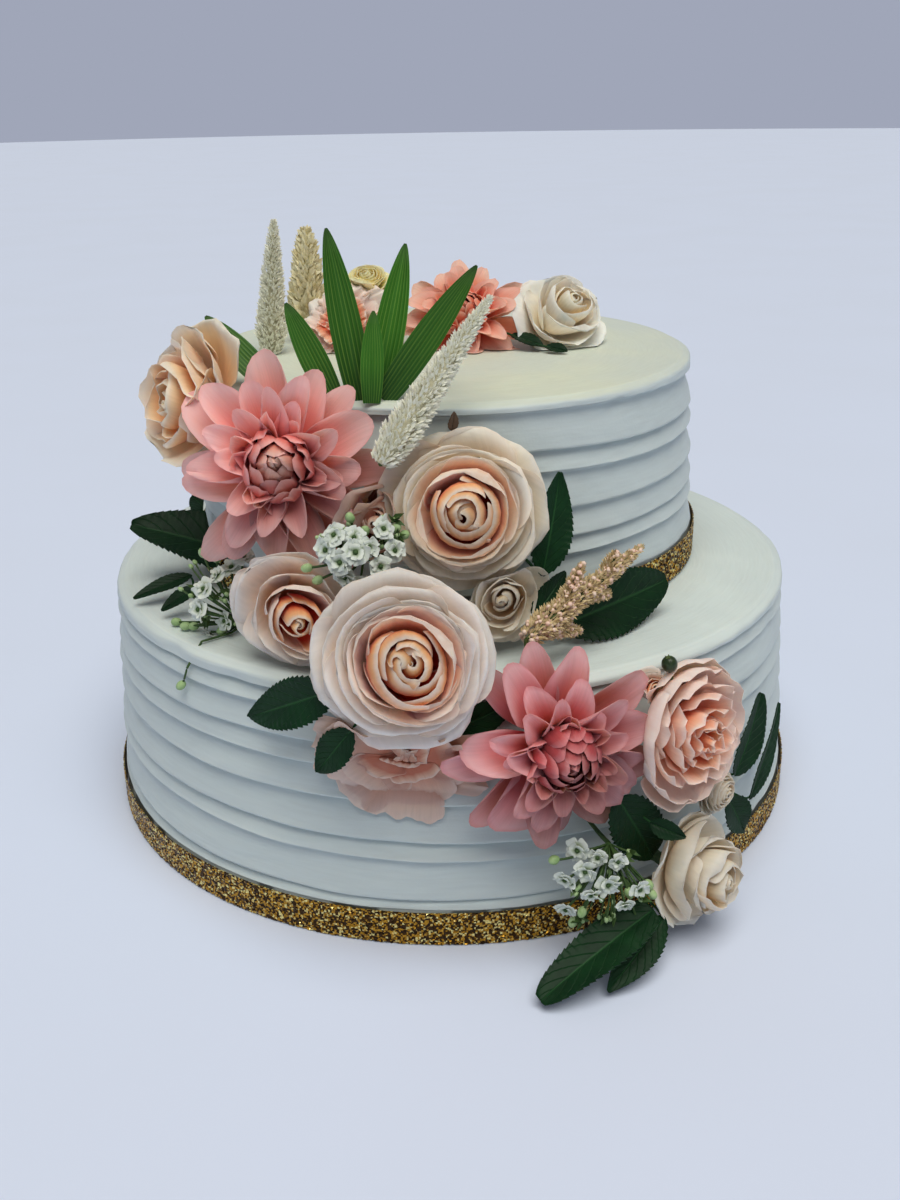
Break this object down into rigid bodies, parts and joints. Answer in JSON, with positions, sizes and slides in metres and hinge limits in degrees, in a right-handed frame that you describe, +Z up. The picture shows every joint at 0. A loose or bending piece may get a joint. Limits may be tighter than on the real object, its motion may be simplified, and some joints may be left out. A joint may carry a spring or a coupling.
{
  "type": "tiered wedding cake",
  "caption": "Tiered wedding cake in combed white buttercream, with glitter ribbons and a sash of cloth roses, dahlias, leaves and baby's breath.",
  "frame": {"origin": "centre of the bottom tier's flat base", "axes": "+Z up; the flower sash hangs on the -Y side and runs from the upper left down to the lower right, seen from -Y"},
  "size_m": [0.3744, 0.418, 0.3033],
  "materials": {
    "icing": "satin combed buttercream",
    "glitter": "coarse gold glitter",
    "petal_peach": "soft printed cloth petals",
    "petal_pink": "soft printed cloth petals",
    "petal_coral": "soft printed cloth petals",
    "petal_blush": "soft printed cloth petals",
    "petal_cream": "soft printed cloth petals",
    "petal_yellow": "soft printed cloth petals",
    "leaf_green": "waxed cloth leaf",
    "blade_green": "satin moulded palm blade",
    "straw": "matt seeded spike",
    "plume_gold": "matt feathery plume",
    "astilbe_tan": "matt beaded spray",
    "breath_white": "matt small florets",
    "berry_green": "satin berry"
  },
  "bodies": {
    "root": {"tier_bottom": "icing", "tier_top": "icing", "ribbon_bottom": "glitter", "ribbon_top": "glitter", "rose_front": "petal_peach", "rose_upper": "petal_peach", "dahlia_upper": "petal_pink", "dahlia_lower": "petal_pink", "peony_right": "petal_blush", "rose_left": "petal_peach", "rose_low": "petal_cream", "carnation": "petal_blush", "ranunculus": "petal_peach", "rose_tucked": "petal_peach", "bloom_between": "petal_peach", "bloom_right": "petal_peach", "bloom_low": "petal_peach", "dahlia_top": "petal_coral", "rose_top": "petal_cream", "peony_top": "petal_peach", "bloom_yellow": "petal_yellow", "spike_front": "straw", "spike_left": "straw", "plume": "plume_gold", "astilbe": "astilbe_tan", "blade_tall": "blade_green", "blade_right": "blade_green", "blade_middle": "blade_green", "blade_left": "blade_green", "blade_short": "blade_green", "blade_side": "blade_green", "leaf_left": "leaf_green", "leaf_left_back": "leaf_green", "leaf_left_slim": "leaf_green", "leaf_left_short": "leaf_green", "leaf_front": "leaf_green", "leaf_front_low": "leaf_green", "leaf_upright": "leaf_green", "leaf_shelf": "leaf_green", "leaf_tucked": "leaf_green", "leaf_between": "leaf_green", "leaf_round": "leaf_green", "leaf_low_front": "leaf_green", "leaf_low_back": "leaf_green", "leaf_right": "leaf_green", "leaf_right_slim": "leaf_green", "leaf_right_low": "leaf_green", "leaf_round_tip": "leaf_green", "leaf_top": "leaf_green", "leaf_top_low": "leaf_green", "sepal_tip": "leaf_green", "berry": "berry_green", "breath_centre": "breath_white", "breath_left": "breath_white", "breath_low": "breath_white"}
  },
  "joints": []
}
